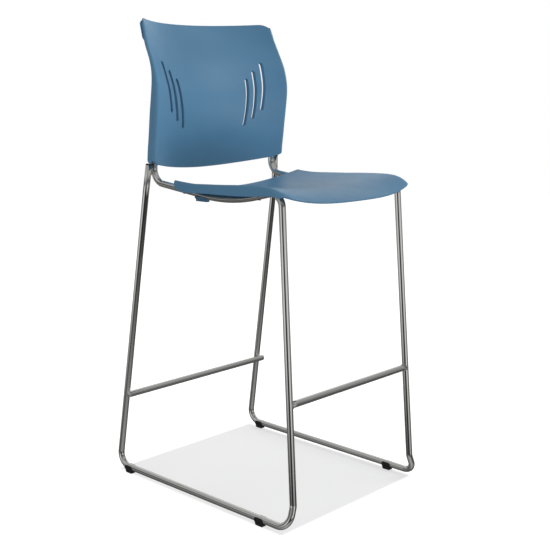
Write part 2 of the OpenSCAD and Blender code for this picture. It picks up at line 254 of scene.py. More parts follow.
def bead(path, rad, sides=14, ripple=0.12, pitch=2.6, closed=False):
    """Weld bead along a dense path, with the small ripples of a weld."""
    path = np.array(path, float)
    n = len(path)
    rings = []
    run = 0.0
    for i in range(n):
        if i:
            run += float(np.linalg.norm(path[i] - path[i - 1]))
        a = path[(i - 1) % n] if closed or i else path[0]
        b = path[(i + 1) % n] if closed or i < n - 1 else path[-1]
        w = rad * (1 - ripple + ripple * abs(math.cos(math.pi * run / pitch)))
        if not closed:
            w *= math.sqrt(max(0.06, 1 - (2 * i / (n - 1) - 1) ** 6))
        rings.append(ring(path[i], b - a, w, sides))
    return rings_mesh(rings, closed=closed)


# ---------------------------------------------------------------- the bent tubes
R_TUBE = 8.0
UP_TOP, UP_BEND, RAIL_MID = [205.5, 160, 965], [205.5, 184, 761], [205.5, -87, 729.6]
FRONT_TOP, FRONT_KICK, FRONT_FLOOR = [206, -245, 767.5], [219, -294, 64], [238, -298, 15]
REAR_FLOOR, LEG_KNEE, LEG_TOP = [242, 301, 15], [227.3, 187, 735], [221.7, 180.3, 801.5]
FRAME = route([UP_TOP, UP_BEND, RAIL_MID, FRONT_TOP, FRONT_KICK, FRONT_FLOOR, REAR_FLOOR, LEG_KNEE, LEG_TOP],
              [0, 35, 500, 30, 30, 32, 32, 200, 0])


def on_line(a, b, z):
    a, b = np.array(a, float), np.array(b, float)
    return a + (b - a) * (z - a[2]) / (b[2] - a[2])


def side_frame():
    tube = rings_mesh([ring(p, t, R_TUBE, 48) for p, t in FRAME])
    welds = []
    for s in (-1, 1):
        a, b = np.array([214.6, 182.4 + 3.4 * s, 777.0]), np.array([213.9, 180.5 + 3.4 * s, 795.0])
        welds.append(bead([a + (b - a) * q for q in np.linspace(0, 1, 40)], 2.6))
    return tube, join(*welds)


def footrest_front():
    p = on_line(FRONT_TOP, FRONT_KICK, 295)
    d = unit(np.array(FRONT_TOP, float) - np.array(FRONT_KICK, float))
    xs = [-p[0], -p[0] + 20, 0, p[0] - 20, p[0]]
    tube = rings_mesh([ring(np.array([x, p[1], p[2]]), [1, 0, 0], R_TUBE, 48) for x in xs])
    path = []
    for q in np.linspace(0, 2 * math.pi, 97)[:-1]:
        w = np.array([0, math.cos(q), math.sin(q)]) * (R_TUBE + 0.2)
        # where the footrest's skin meets the leg's skin
        e = np.array([-1.0, 0, 0])
        c1, c2 = w - d * np.dot(w, d), e - d * np.dot(e, d)
        A, B, C = np.dot(c2, c2), 2 * np.dot(c1, c2), np.dot(c1, c1) - (R_TUBE + 0.2) ** 2
        s = (-B + math.sqrt(max(0.0, B * B - 4 * A * C))) / (2 * A)
        path.append(p + w + e * s)
    welds = bead(path, 1.5, closed=True, sides=12)
    return tube, welds


def footrest_rear():
    p = on_line(REAR_FLOOR, LEG_KNEE, 213)
    y, z, L = p[1] - 16.1, p[2], 248.0
    rings = []
    for s in (-1, 1):
        prof = [(L, 0.6), (L, 2.0), (L, 3.2)] + [(L - 4.5 + 4.5 * math.sin(a), R_TUBE - 4.5 + 4.5 * math.cos(a)) for a in np.radians([75, 60, 45, 30, 15, 0])]
        prof += [(L - 8, R_TUBE), (L - 30, R_TUBE)]
        part = [ring(np.array([s * x, y, z]), [1, 0, 0], rr, 48) for x, rr in prof]
        rings += part if s < 0 else part[::-1]
    tube = rings_mesh(rings)
    c = np.array([p[0], y + R_TUBE + 0.05, z])
    path = [c + np.array([5.2 * math.cos(q), 0.25 * math.cos(2 * q), 4.6 * math.sin(q)]) for q in np.linspace(0, 2 * math.pi, 73)[:-1]]
    return tube, bead(path, 1.7, closed=True, sides=12)


for side, mir in (("left", False), ("right", True)):
    tube, welds = side_frame()
    o = piece("side_frame_" + side + "_tube", *tube, CHROME, "frame_chrome", mir)
    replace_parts(o, "side_frame_" + side)
    piece("side_frame_" + side + "_welds", *welds, WELD, "frame_chrome", mir)
tube, welds = footrest_front()
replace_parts(piece("footrest_front_tube", *tube, CHROME, "frame_chrome"), "footrest_front")
for side, mir in (("left", False), ("right", True)):
    piece("footrest_front_weld_" + side, *welds, WELD, "frame_chrome", mir)
tube, welds = footrest_rear()
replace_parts(piece("footrest_rear_tube", *tube, CHROME, "frame_chrome"), "footrest_rear")
for side, mir in (("left", False), ("right", True)):
    piece("footrest_rear_weld_" + side, *welds, WELD, "frame_chrome", mir)


# ---------------------------------------------------------------- moulded shells
def spline(xs, ys):
    """Natural cubic through the points, straight beyond its ends."""
    x, y = np.array(xs, float), np.array(ys, float)
    n = len(x)
    h = np.diff(x)
    A = np.eye(n)
    rhs = np.zeros(n)
    for i in range(1, n - 1):
        A[i, i - 1], A[i, i], A[i, i + 1] = h[i - 1], 2 * (h[i - 1] + h[i]), h[i]
        rhs[i] = 6 * ((y[i + 1] - y[i]) / h[i] - (y[i] - y[i - 1]) / h[i - 1])
    m = np.linalg.solve(A, rhs)

    def at(q):
        q = np.asarray(q, float)
        c = np.clip(q, x[0], x[-1])
        i = np.clip(np.searchsorted(x, c) - 1, 0, n - 2)
        a, b = x[i + 1] - c, c - x[i]
        hi = h[i]
        v = m[i] * a ** 3 / (6 * hi) + m[i + 1] * b ** 3 / (6 * hi) + (y[i] / hi - m[i] * hi / 6) * a + (y[i + 1] / hi - m[i + 1] * hi / 6) * b
        s0 = (y[1] - y[0]) / h[0] - h[0] * (2 * m[0] + m[1]) / 6
        s1 = (y[-1] - y[-2]) / h[-1] + h[-1] * (m[-2] + 2 * m[-1]) / 6
        return v + np.where(q < x[0], (q - x[0]) * s0, 0) + np.where(q > x[-1], (q - x[-1]) * s1, 0)
    return at


def inside(poly, pts):
    poly = np.asarray(poly)
    x, y = pts[:, 0], pts[:, 1]
    res = np.zeros(len(pts), bool)
    j = len(poly) - 1
    for i in range(len(poly)):
        xi, yi, xj, yj = *poly[i], *poly[j]
        if yi != yj:
            res ^= ((yi > y) != (yj > y)) & (x < (xj - xi) * (y - yi) / (yj - yi) + xi)
        j = i
    return res


def turned(poly, ccw):
    p = np.asarray(poly, float)
    area = 0.5 * np.sum(p[:, 0] * np.roll(p[:, 1], -1) - np.roll(p[:, 0], -1) * p[:, 1])
    return p if (area > 0) == ccw else p[::-1]


def nearest(pts, line):
    best = np.full(len(pts), 1e9)
    for k in range(0, len(line), 64):
        d = np.linalg.norm(pts[:, None, :] - line[None, k:k + 64, :], axis=2).min(axis=1)
        best = np.minimum(best, d)
    return best


def shell(surf, side, outer, holes, us, vs, t, e, behind=None, keep=1.6, arcs=5, lip=0.8):
    """A moulded sheet: the outer skin surf(u, v), its inner skin t behind it, and rounded edges, of radius e around the outline and lip around the holes.

    side is +1 where the outer skin faces the way of du x dv, else -1. outer and holes are outlines in u, v that already leave the room of the rounded edge.
    """
    loops = [turned(outer, True)] + [turned(h, False) for h in holes]
    grid = np.array([(u, v) for u in us for v in vs])
    ok = inside(loops[0], grid)
    for h in loops[1:]:
        ok &= ~inside(h, grid)
    grid = grid[ok]
    grid = grid[nearest(grid, np.concatenate(loops)) > keep]
    co = np.concatenate(loops + [grid])
    edges, k, spans = [], 0, []
    for lp in loops:
        n = len(lp)
        edges += [(k + i, k + (i + 1) % n) for i in range(n)]
        spans.append(range(k, k + n))
        k += n
    vc, _, tri, orig, _, _ = delaunay_2d_cdt([Vector(c) for c in co], edges, [], 0, 1e-7)
    uv = np.array([(c.x, c.y) for c in vc])
    where = {}
    for out, ins in enumerate(orig):
        for i in ins:
            where[i] = out
    tri = np.array([list(f) for f in tri if len(f) == 3])
    cen = uv[tri].mean(axis=1)
    ok = inside(loops[0], cen)
    for h in loops[1:]:
        ok &= ~inside(h, cen)
    tri = tri[ok]
    p = uv[tri]
    area = (p[:, 1, 0] - p[:, 0, 0]) * (p[:, 2, 1] - p[:, 0, 1]) - (p[:, 2, 0] - p[:, 0, 0]) * (p[:, 1, 1] - p[:, 0, 1])
    tri[area < 0] = tri[area < 0][:, ::-1]

    F = surf(uv[:, 0], uv[:, 1])
    d = 0.04
    du = surf(uv[:, 0] + d, uv[:, 1]) - surf(uv[:, 0] - d, uv[:, 1])
    dv = surf(uv[:, 0], uv[:, 1] + d) - surf(uv[:, 0], uv[:, 1] - d)
    N = unit(np.cross(du, dv))
    B = F - side * N * t
    if behind:
        B = behind(uv, F, B)
    n = len(F)
    verts = [F, B]
    faces = [list(f) if side > 0 else list(f[::-1]) for f in tri] + [[i + n for i in (f[::-1] if side > 0 else f)] for f in tri]
    total = 2 * n
    for sp in spans:
        e = e if sp is spans[0] else lip
        idx = np.array([where[i] for i in sp])
        P = F[idx]
        T = unit(np.roll(P, -1, axis=0) - np.roll(P, 1, axis=0))
        O = unit(np.cross(T, N[idx]))
        D = B[idx] - P
        depth = np.linalg.norm(D, axis=1)[:, None]
        D = D / depth
        rows = []
        for q in np.linspace(0, math.pi / 2, arcs + 1)[1:]:
            rows.append(P + O * e * math.sin(q) + D * e * (1 - math.cos(q)))
        far = int(max(2, depth.max() / 3))
        for f in np.linspace(0, 1, far + 1)[1:]:
            rows.append(P + O * e + D * (e + (depth - 2 * e) * f))
        for q in np.linspace(math.pi / 2, 0, arcs + 1)[1:-1]:
            rows.append(P + O * e * math.sin(q) + D * (depth - e * (1 - math.cos(q))))
        ids = [idx] + [np.arange(total + k * len(idx), total + (k + 1) * len(idx)) for k in range(len(rows))] + [idx + n]
        verts += rows
        total += len(rows) * len(idx)
        for a, b in zip(ids[:-1], ids[1:]):
            for i in range(len(idx)):
                g = (i + 1) % len(idx)
                q = [int(a[i]), int(b[i]), int(b[g]), int(a[g])]
                faces.append(q if side > 0 else q[::-1])
    return np.concatenate(verts), faces


def box_outline(u0, u1, v0, v1, rad, step, low=None):
    """A rectangle with rounded corners, as a dense outline."""
    pts = []
    lw = low or rad
    for cx, cy, a0, rad in ((u1 - lw, v0 + lw, -90, lw), (u1 - rad, v1 - rad, 0, rad), (u0 + rad, v1 - rad, 90, rad), (u0 + lw, v0 + lw, 180, lw)):
        pts += [(cx + rad * math.cos(math.radians(a)), cy + rad * math.sin(math.radians(a))) for a in np.linspace(a0, a0 + 90, 7)]
    out = []
    for i, p in enumerate(pts):
        q = pts[(i + 1) % len(pts)]
        L = math.dist(p, q)
        k = max(1, int(L / step))
        out += [(p[0] + (q[0] - p[0]) * s / k, p[1] + (q[1] - p[1]) * s / k) for s in range(k)]
    return out


def steps(*spans):
    """Values over several stretches: (from, to, step)."""
    out = []
    for a, b, s in spans:
        k = max(1, round((b - a) / s))
        out += [a + (b - a) * i / k for i in range(k)]
    out.append(spans[-1][1])
    return out


# ---- seat: rows from rear to front, as y, bow, rim height, middle height, flange, half width, rise power, corner, lean
SEAT_ROWS = np.array([
    [91, 13, 770.8, 742, 21, 221.5, 1.8, 0, 4], [83, 10, 769.6, 741, 21, 222.3, 1.8, 0, 3],
    [71, 6, 768.4, 740, 21.3, 223.3, 1.8, 0, 1.3], [52, 2.5, 767.3, 738.5, 22.2, 224.7, 1.8, 0, 0],
    [28, 0.5, 767, 737.5, 22.3, 225.8, 1.8, 0, 0], [0, 0, 768, 737.5, 22.2, 226.4, 1.8, 0, 0],
    [-36, 0, 769.5, 740, 22.4, 226.5, 1.8, 0, 0], [-72, 0, 771, 744, 23.5, 226.5, 1.8, 0, 0],
    [-108, 0, 773, 749, 25, 226.5, 1.8, 0, 0], [-140, 0, 774.5, 753.5, 25.3, 226.5, 1.8, 0, 0],
    [-168, 0, 775.5, 756.3, 24.6, 226.5, 1.8, 0, 0], [-192, -0.5, 776, 757, 23.3, 226.5, 1.82, 0.02, 0],
    [-208, -3, 775.8, 756.6, 21.9, 226.5, 1.95, 0.13, 0], [-224.5, -7.2, 774.8, 754.9, 19.5, 226.5, 2.23, 0.31, 0],
    [-239, -12.2, 772.5, 751.8, 16.5, 226.5, 2.55, 0.5, 0], [-252, -17.3, 768.8, 747.5, 12.4, 226.5, 2.88, 0.68, 0],
    [-263.5, -22.1, 763.9, 742.5, 8, 226.5, 3.2, 0.85, 0], [-273, -26.5, 758.4, 737.2, 6, 226.5, 3.5, 1, 0]])
CORNER = 23.0
mid_line = np.stack([SEAT_ROWS[:, 0] + SEAT_ROWS[:, 1], SEAT_ROWS[:, 3]], axis=1)
SEAT_V = np.concatenate([[0], np.cumsum(np.linalg.norm(np.diff(mid_line, axis=0), axis=1))])
SEAT_S = [spline(SEAT_V, SEAT_ROWS[:, k]) for k in range(9)]
SEAT_END = 219.1
ROLL = 5.0
ROLL_LEN = 8.5
FLANGE_LEN = 17.0


def seat_surface(u, v):
    s, a = np.where(u < 0, -1.0, 1.0), np.abs(u)
    y0, bow, rim, mid, fl, half, pw, cor, lean = (f(v) for f in SEAT_S)
    cor = np.maximum(cor, 0)
    rise = rim - mid
    x = np.minimum(a, SEAT_END)
    z = mid + rise * (x / 222) ** pw
    al = np.arctan(rise * pw / 222 * (SEAT_END / 222) ** (pw - 1))
    be = math.radians(85)
    f = np.clip((a - SEAT_END) / ROLL_LEN, 0, 1)
    th = al - (al + be) * f
    x = x + ROLL * (np.sin(al) - np.sin(th))
    z = z + ROLL * (np.cos(th) - np.cos(al))
    g = np.maximum(0, (a - SEAT_END - ROLL_LEN) / FLANGE_LEN)
    zr = mid + rise * (SEAT_END / 222) ** pw + ROLL * (math.cos(be) - np.cos(al))
    drop = np.maximum(0.8, zr - (rim - fl))
    x = x + g * drop * math.cos(be) / math.sin(be)
    z = z - g * drop
    y = y0 + bow * (1 - (np.minimum(x, 222) / 222) ** 2)
    c = np.maximum(0, np.minimum(x, 226.5) - 226.5 + CORNER)
    y = y + cor * (CORNER - np.sqrt(np.maximum(CORNER * CORNER - c * c, 0)))
    y = y - np.maximum(lean, 0) * g ** 2
    x = x * half / 226.5
    return np.stack([s * x, y, z], axis=-1)


def seat():
    e, t = 1.3, 4.0
    U, V = SEAT_END + ROLL_LEN + FLANGE_LEN, SEAT_V[-1]
    outer = box_outline(-U + e, U - e, e, V - e, 2.5, 2.6)
    us = steps((-U, -SEAT_END - ROLL_LEN, 2.4), (-SEAT_END - ROLL_LEN, -SEAT_END + 2, 1.1), (-SEAT_END + 2, SEAT_END - 2, 4.4), (SEAT_END - 2, SEAT_END + ROLL_LEN, 1.1), (SEAT_END + ROLL_LEN, U, 2.4))
    vs = steps((0, V * 0.72, 4.2), (V * 0.72, V, 3.0))
    return shell(seat_surface, -1, outer, [], us, vs, t, e)


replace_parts(piece("seat_moulding", *seat(), BLUE, "shell_plastic"), "seat_shell")


def boss(x, y, z0, z1):
    """Round boss that flares into the underside of the seat."""
    prof = [(8.6, z0), (9.4, z0 + 0.3), (9.8, z0 + 1.0)]
    prof += [(9.8 + 0.2 * f, z0 + 1 + (z1 - z0 - 5) * f) for f in (0.3, 0.6, 1)]
    prof += [(10 + 4 * (1 - math.cos(a)), z1 - 4 + 4 * math.sin(a)) for a in np.radians([15, 30, 45, 60, 75, 90])]
    return rings_mesh([ring(np.array([x, y, z]), [0, 0, 1], rr, 40) for rr, z in prof])


bosses = [boss(205.6, 70, 750.5, 761.0), boss(205.6, -178, 755.5, 769.0)]
for side, mir in (("left", False), ("right", True)):
    piece("seat_bosses_" + side, *join(*bosses), BLUE, "shell_plastic", mir)

# ---- back: rows from bottom to top, as height, rim y, depth of the hollow, flange, half width
BACK_ROWS = np.array([
    [780, 154, 83.3, 26.6, 227.4], [806, 153.2, 71.8, 26.6, 227.4], [818, 152.2, 66.8, 26.4, 227.5], [832, 151.2, 61.3, 26, 227.6],
    [850, 149, 55.8, 25.5, 227.7], [870, 146.5, 51.4, 25.4, 227.7], [892, 144, 48.8, 25.2, 227.8], [914, 141.3, 48.5, 25.2, 228.1],
    [936, 138.6, 50.6, 24.7, 228.5], [956, 136.3, 54.9, 23.7, 228.8], [976, 134.9, 60.1, 22.3, 229], [994, 135.6, 65.4, 19.7, 229],
    [1012, 138.6, 70.4, 15.9, 229.1], [1030, 143.3, 73.7, 12.8, 229], [1050, 151.4, 76, 10.4, 228.6], [1070, 160.9, 80, 9.2, 227.8],
    [1090, 170.4, 84.4, 8.6, 226.6], [1108, 177.7, 89.6, 10, 224.5], [1124, 183.9, 93.9, 11.8, 222.7], [1137, 189.2, 97, 13.7, 221.6],
    [1148, 194.3, 99.2, 13.7, 221.6]])
BACK_S = [spline(BACK_ROWS[:, 0], BACK_ROWS[:, k]) for k in (1, 2, 3, 4)]
BACK_ROLL = 4.6
BACK_ROLL_LEN = 9.0
BACK_FL_LEN = 15.0
BACK_END = 218.0


def low_z(x):
    return 806 - 25.3 * (1 - (np.abs(x) / 225) ** 1.9) + np.where(x > 195, 0.3 * (30 - np.sqrt(np.maximum(0, 900 - (np.clip(x, 195, 225) - 195) ** 2))), 0)


def high_z(x):
    return 1151.5 - 7 * (1 - (x / 225) ** 2) - np.where(x > 199, 26 - np.sqrt(np.maximum(0, 676 - (np.minimum(x, 225) - 199) ** 2)), 0)


def back_surface(u, v):
    """v runs from 0 at the lower edge to 342 at the upper edge."""
    s, a = np.where(u < 0, -1.0, 1.0), np.abs(u)
    be = math.radians(84)
    xe = np.minimum(a, BACK_END)
    f = v / 342.0
    # height first, from the place across the sheet
    xq = np.minimum(np.where(a > BACK_END, BACK_END + (a - BACK_END) * 0.72, a), 224.0)
    z = low_z(xq) + (high_z(xq) - low_z(xq)) * f
    rim, hol, fl, half = (g(z) for g in BACK_S)
    y = rim + hol * (1 - (xe / 225) ** 2.14)
    al = np.arctan(hol * 2.14 / 225 * (BACK_END / 225) ** 1.14)
    x_room = 225.4 - BACK_END
    rad = x_room / (math.sin(be) + np.sin(al))
    w = np.clip((a - BACK_END) / BACK_ROLL_LEN, 0, 1)
    th = -al + (al + be) * w
    x = xe + rad * (np.sin(th) + np.sin(al))
    y = y + rad * (np.cos(al) - np.cos(th))
    g = np.maximum(0, (a - BACK_END - BACK_ROLL_LEN) / BACK_FL_LEN)
    y_end = rim + hol * (1 - (BACK_END / 225) ** 2.14) + rad * (np.cos(al) - math.cos(be))
    run = np.maximum(1.5, rim + fl - y_end)
    y = y + g * run
    x = x + g * run * math.cos(be) / math.sin(be)
    k = np.clip(g / 0.45, 0, 1)
    up = np.clip((f - 0.84) / 0.16, 0, 1)
    z = z + k * k * (3 - 2 * k) * (10 * up * up - 7.5 * np.clip(1 - f / 0.1, 0, 1))
    return np.stack([s * x * half / 226.5, y, z], axis=-1)


def sleeve_rise(x, z, y_skin):
    """How far the sleeve around the upright stands out behind the inner skin."""
    d = (np.abs(x) - 205.5)
    y_axis = 184 - (z - 761) * 24 / 204
    top = y_axis + 11.0
    H = np.maximum(0, top - y_skin)
    w = np.where(d < 0, 13.5, 12.8)
    q = np.clip(np.abs(d) / w, 0, 1)
    prof = (1 - q ** 2.6) ** 1.15
    end = np.clip((z - 960.0) / 24.0, 0, 1)
    fade = np.sqrt(np.clip(1 - end ** 2, 0, 1)) * (1 - end ** 6)
    return H * prof * fade


def back_behind(uv, F, B):
    """The inner skin, with the sleeves and the slots' low collars, whose walls run straight back."""
    B = B.copy()
    B[:, 1] += sleeve_rise(B[:, 0], B[:, 2], B[:, 1])
    gap = nearest(np.stack([np.abs(F[:, 0]), F[:, 2]], axis=1), SLOT_LINES)
    q = np.clip((gap - 5.9) / 3.6, 0, 1)
    w = np.where(gap < 22, np.cos(q * math.pi / 2) ** 1.5, 0)
    straight = F + np.array([0, 10.4, 0])
    return B * (1 - w[:, None]) + straight * w[:, None]


SLOTS = [[[170.2, 1044], [169.1, 1030], [167.2, 1010], [165, 990], [162.5, 970], [159.7, 950], [156.7, 930]],
         [[144.8, 1023], [143.1, 1005], [141.1, 985], [138.9, 965], [136.6, 945], [134, 925], [131.7, 908]],
         [[120.5, 1003], [118.4, 985], [116.2, 965], [113.8, 945], [111.4, 925], [108.9, 905], [107, 890]]]


def slot_outline(c, h, s):
    """Outline in u, v of a slot of half width h around the centre line c, on side s."""
    c = np.array(c)
    t = np.linspace(0, 1, 48)
    q = np.linspace(0, 1, len(c))
    cx, cz = spline(q, c[:, 0])(t), spline(q, c[:, 1])(t)
    p = np.stack([cx, cz], axis=1)
    tan = unit(np.gradient(p, axis=0))
    nor = np.stack([-tan[:, 1], tan[:, 0]], axis=1)
    a0 = math.atan2(nor[-1][1], nor[-1][0])
    a1 = math.atan2(-nor[0][1], -nor[0][0])
    pts = list(p + h * nor)
    pts += [p[-1] + h * np.array([math.cos(a0 - a), math.sin(a0 - a)]) for a in np.linspace(0, math.pi, 13)[1:-1]]
    pts += list((p - h * nor)[::-1])
    pts += [p[0] + h * np.array([math.cos(a1 - a), math.sin(a1 - a)]) for a in np.linspace(0, math.pi, 13)[1:-1]]
    pts = np.array(pts)
    x, z = pts[:, 0] * 226.5 / BACK_S[3](pts[:, 1]), pts[:, 1]
    v = (z - low_z(x)) / (high_z(x) - low_z(x)) * 342.0
    return np.stack([s * x, v], axis=1)


def slot_lines():
    out = []
    for c in SLOTS:
        c = np.array(c)
        q, t = np.linspace(0, 1, len(c)), np.linspace(0, 1, 120)
        out.append(np.stack([spline(q, c[:, 0])(t), spline(q, c[:, 1])(t)], axis=1))
    return np.concatenate(out)


SLOT_LINES = slot_lines()


def back():
    e, t = 1.3, 4.0
    U = BACK_END + BACK_ROLL_LEN + BACK_FL_LEN
    outer = box_outline(-U + e, U - e, e, 342 - e, 2.5, 2.4, low=6.5)
    holes = [slot_outline(c, 4.5 + 0.8, s) for s in (-1, 1) for c in SLOTS]
    us = steps((-U, -228, 2.4), (-228, -191, 1.15), (-191, 191, 4.0), (191, 228, 1.15), (228, U, 2.4))
    vs = steps((0, 12, 2.0), (12, 240, 4.0), (240, 342, 3.4))
    return shell(back_surface, 1, outer, holes, us, vs, t, e, behind=back_behind)


def clear_of_leg(o):
    """Cut round notches for the capped ends of the rear legs."""
    k, t = np.array(LEG_KNEE, float), np.array(LEG_TOP, float)
    d = unit(t - k)
    for sx in (1, -1):
        ends = [ring(q * [sx, 1, 1], d * [sx, 1, 1], 8.5, 48) for q in (t - d * 30, t + d * 3.8)]
        me = bpy.data.meshes.new("notch")
        v, f = rings_mesh(ends)
        me.from_pydata([tuple(c * MM for c in p) for p in v], [], f)
        bm = bmesh.new()
        bm.from_mesh(me)
        bmesh.ops.recalc_face_normals(bm, faces=bm.faces)
        bm.to_mesh(me)
        bm.free()
        tool = bpy.data.objects.new("notch", me)
        scene.collection.objects.link(tool)
        m = o.modifiers.new("notch", "BOOLEAN")
        m.operation, m.solver, m.object = "DIFFERENCE", "EXACT", tool
        dg = bpy.context.evaluated_depsgraph_get()
        dg.update()
        new = bpy.data.meshes.new_from_object(o.evaluated_get(dg))
        o.modifiers.remove(m)
        bpy.data.objects.remove(tool, do_unlink=True)
        o.data = new
    o.data.materials.clear()
    o.data.materials.append(BLUE)
    o.data.polygons.foreach_set("material_index", [0] * len(o.data.polygons))
    o.data.polygons.foreach_set("use_smooth", [True] * len(o.data.polygons))
    return o


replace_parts(clear_of_leg(piece("back_moulding", *back(), BLUE, "shell_plastic")), "back_shell")


# ---------------------------------------------------------------- small parts
def solid(name, build, mat, slot, mirror=False, width=0.8, at=None):
    """A mesh cut from simple shapes, with its edges rounded."""
    objs = build()
    base = objs[0]
    for op, tool in objs[1:]:
        m = base.modifiers.new("cut", "BOOLEAN")
        m.operation = op
        m.solver = "EXACT"
        m.object = tool
    b = base.modifiers.new("round", "BEVEL")
    b.width = width * MM
    b.segments = 3
    b.limit_method = "ANGLE"
    b.angle_limit = math.radians(38)
    b.use_clamp_overlap = True
    dg = bpy.context.evaluated_depsgraph_get()
    dg.update()
    ev = base.evaluated_get(dg)
    me = bpy.data.meshes.new_from_object(ev)
    verts = [tuple(c / MM for c in v.co) for v in me.vertices]
    faces = [list(p.vertices) for p in me.polygons]
    for o in [base] + [tool for _, tool in objs[1:]]:
        bpy.data.objects.remove(o, do_unlink=True)
    o = piece(name, verts, faces, mat, slot, mirror)
    o.data.materials.clear()
    o.data.materials.append(mat)
    o.data.polygons.foreach_set("material_index", [0] * len(o.data.polygons))
    sm = o.modifiers.new("weighted", "WEIGHTED_NORMAL")
    sm.keep_sharp = True
    sm.weight = 60
    return o


def raw(verts, faces):
    me = bpy.data.meshes.new("raw")
    me.from_pydata([tuple(c * MM for c in v) for v in verts], [], [list(f) for f in faces])
    bm = bmesh.new()
    bm.from_mesh(me)
    bmesh.ops.recalc_face_normals(bm, faces=bm.faces)
    bm.to_mesh(me)
    bm.free()
    o = bpy.data.objects.new("raw", me)
    scene.collection.objects.link(o)
    return o


def glide(yc):
    """Clip around the runner with a flat pad and boat-shaped ends."""
    a, b = np.array(FRONT_FLOOR, float), np.array(REAR_FLOOR, float)
    x = a[0] + (b[0] - a[0]) * (yc - a[1]) / (b[1] - a[1])
    ang = -math.atan2(b[0] - a[0], b[1] - a[1])
    L, R, half = 26.0, 9.8, 6.5
    ca, sa = math.cos(ang), math.sin(ang)

    def place(p):
        return (x + p[0] * ca - p[1] * sa, yc + p[0] * sa + p[1] * ca, p[2])

    def build():
        # section: pad below, round clip above
        z0 = 15 - math.sqrt(R * R - half * half)
        a0 = math.degrees(math.atan2(z0 - 15, half))
        sec = [(-half, 0), (half, 0), (half, z0)]
        sec += [(R * math.cos(math.radians(q)), 15 + R * math.sin(math.radians(q))) for q in np.linspace(a0, 180 - a0, 44)[1:-1]]
        sec += [(-half, z0)]
        body = raw(*rings_mesh([[place((px, s * L / 2, pz)) for px, pz in sec] for s in (-1, 1)]))
        boat = [(-L / 2 + 3, 0), (L / 2 - 3, 0), (L / 2, 5), (L / 2, 16), (L / 2 - 3, 20), (-L / 2 + 3, 20), (-L / 2, 16), (-L / 2, 5)]
        hull = raw(*rings_mesh([[place((sx, py, pz)) for py, pz in boat] for sx in (-14, 14)]))
        bore = raw(*rings_mesh([[place((8.05 * math.cos(q), s * L, 15 + 8.05 * math.sin(q))) for q in np.arange(48) * 2 * math.pi / 48] for s in (-1, 1)]))
        cuts = [body, ("INTERSECT", hull), ("DIFFERENCE", bore)]
        if yc > 0:
            arc = bend_at(a, b, np.array(LEG_KNEE, float), 32, step=4)
            cuts.append(("DIFFERENCE", raw(*rings_mesh([ring(p, t, 8.05, 48) for p, t in arc]))))
        return cuts
    return build


for fr, yc in (("front", -211), ("rear", 259)):
    for side, mir in (("left", False), ("right", True)):
        nm = "glide_" + fr + "_" + side
        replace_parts(solid(nm + "_moulding", glide(yc), BLACK, "black_plastic", mir, width=0.6), nm)


def bumper():
    """Keel under the lowest stretch of the rail, with a saddle that hugs the tube."""
    def build():
        c = [(-4.6, 725.2), (4.6, 725.2), (5.4, 731), (8.8, 732.5), (8.8, 736.5), (-8.8, 736.5), (-8.8, 732.5), (-5.4, 731)]
        block = raw(*rings_mesh([[(205.5 + px, py, pz) for px, pz in c] for py in (-11, 25)]))
        arc = bend_at(np.array(UP_BEND, float), np.array(RAIL_MID, float), np.array(FRONT_TOP, float), 500, step=0.7)
        (p0, t0), (p1, t1) = arc[0], arc[-1]
        st = [(p0 - t0 * 60, t0)] + arc + [(p1 + t1 * 10, t1)]
        rail = raw(*rings_mesh([ring(p, t, 8.05, 48) for p, t in st]))
        return [block, ("DIFFERENCE", rail)]
    return build


# the bumpers wear the shade-darkened copy of the shell blue: painted shade under the seat
for side, mir in (("left", False), ("right", True)):
    nm = "bumper_" + side
    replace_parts(solid(nm + "_moulding", bumper(), SHADE_DARKENED_BLUE, "shell_plastic", mir, width=0.8), nm)


# ---------------------------------------------------------------- CAD nodes that stay
for name, mat in (("rear_leg_cap_left", BLACK), ("rear_leg_cap_right", BLACK), ("seat_screws", SCREW), ("back_screws", SCREW)):
    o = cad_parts[name]
    for sl in o.material_slots:
        sl.material = mat


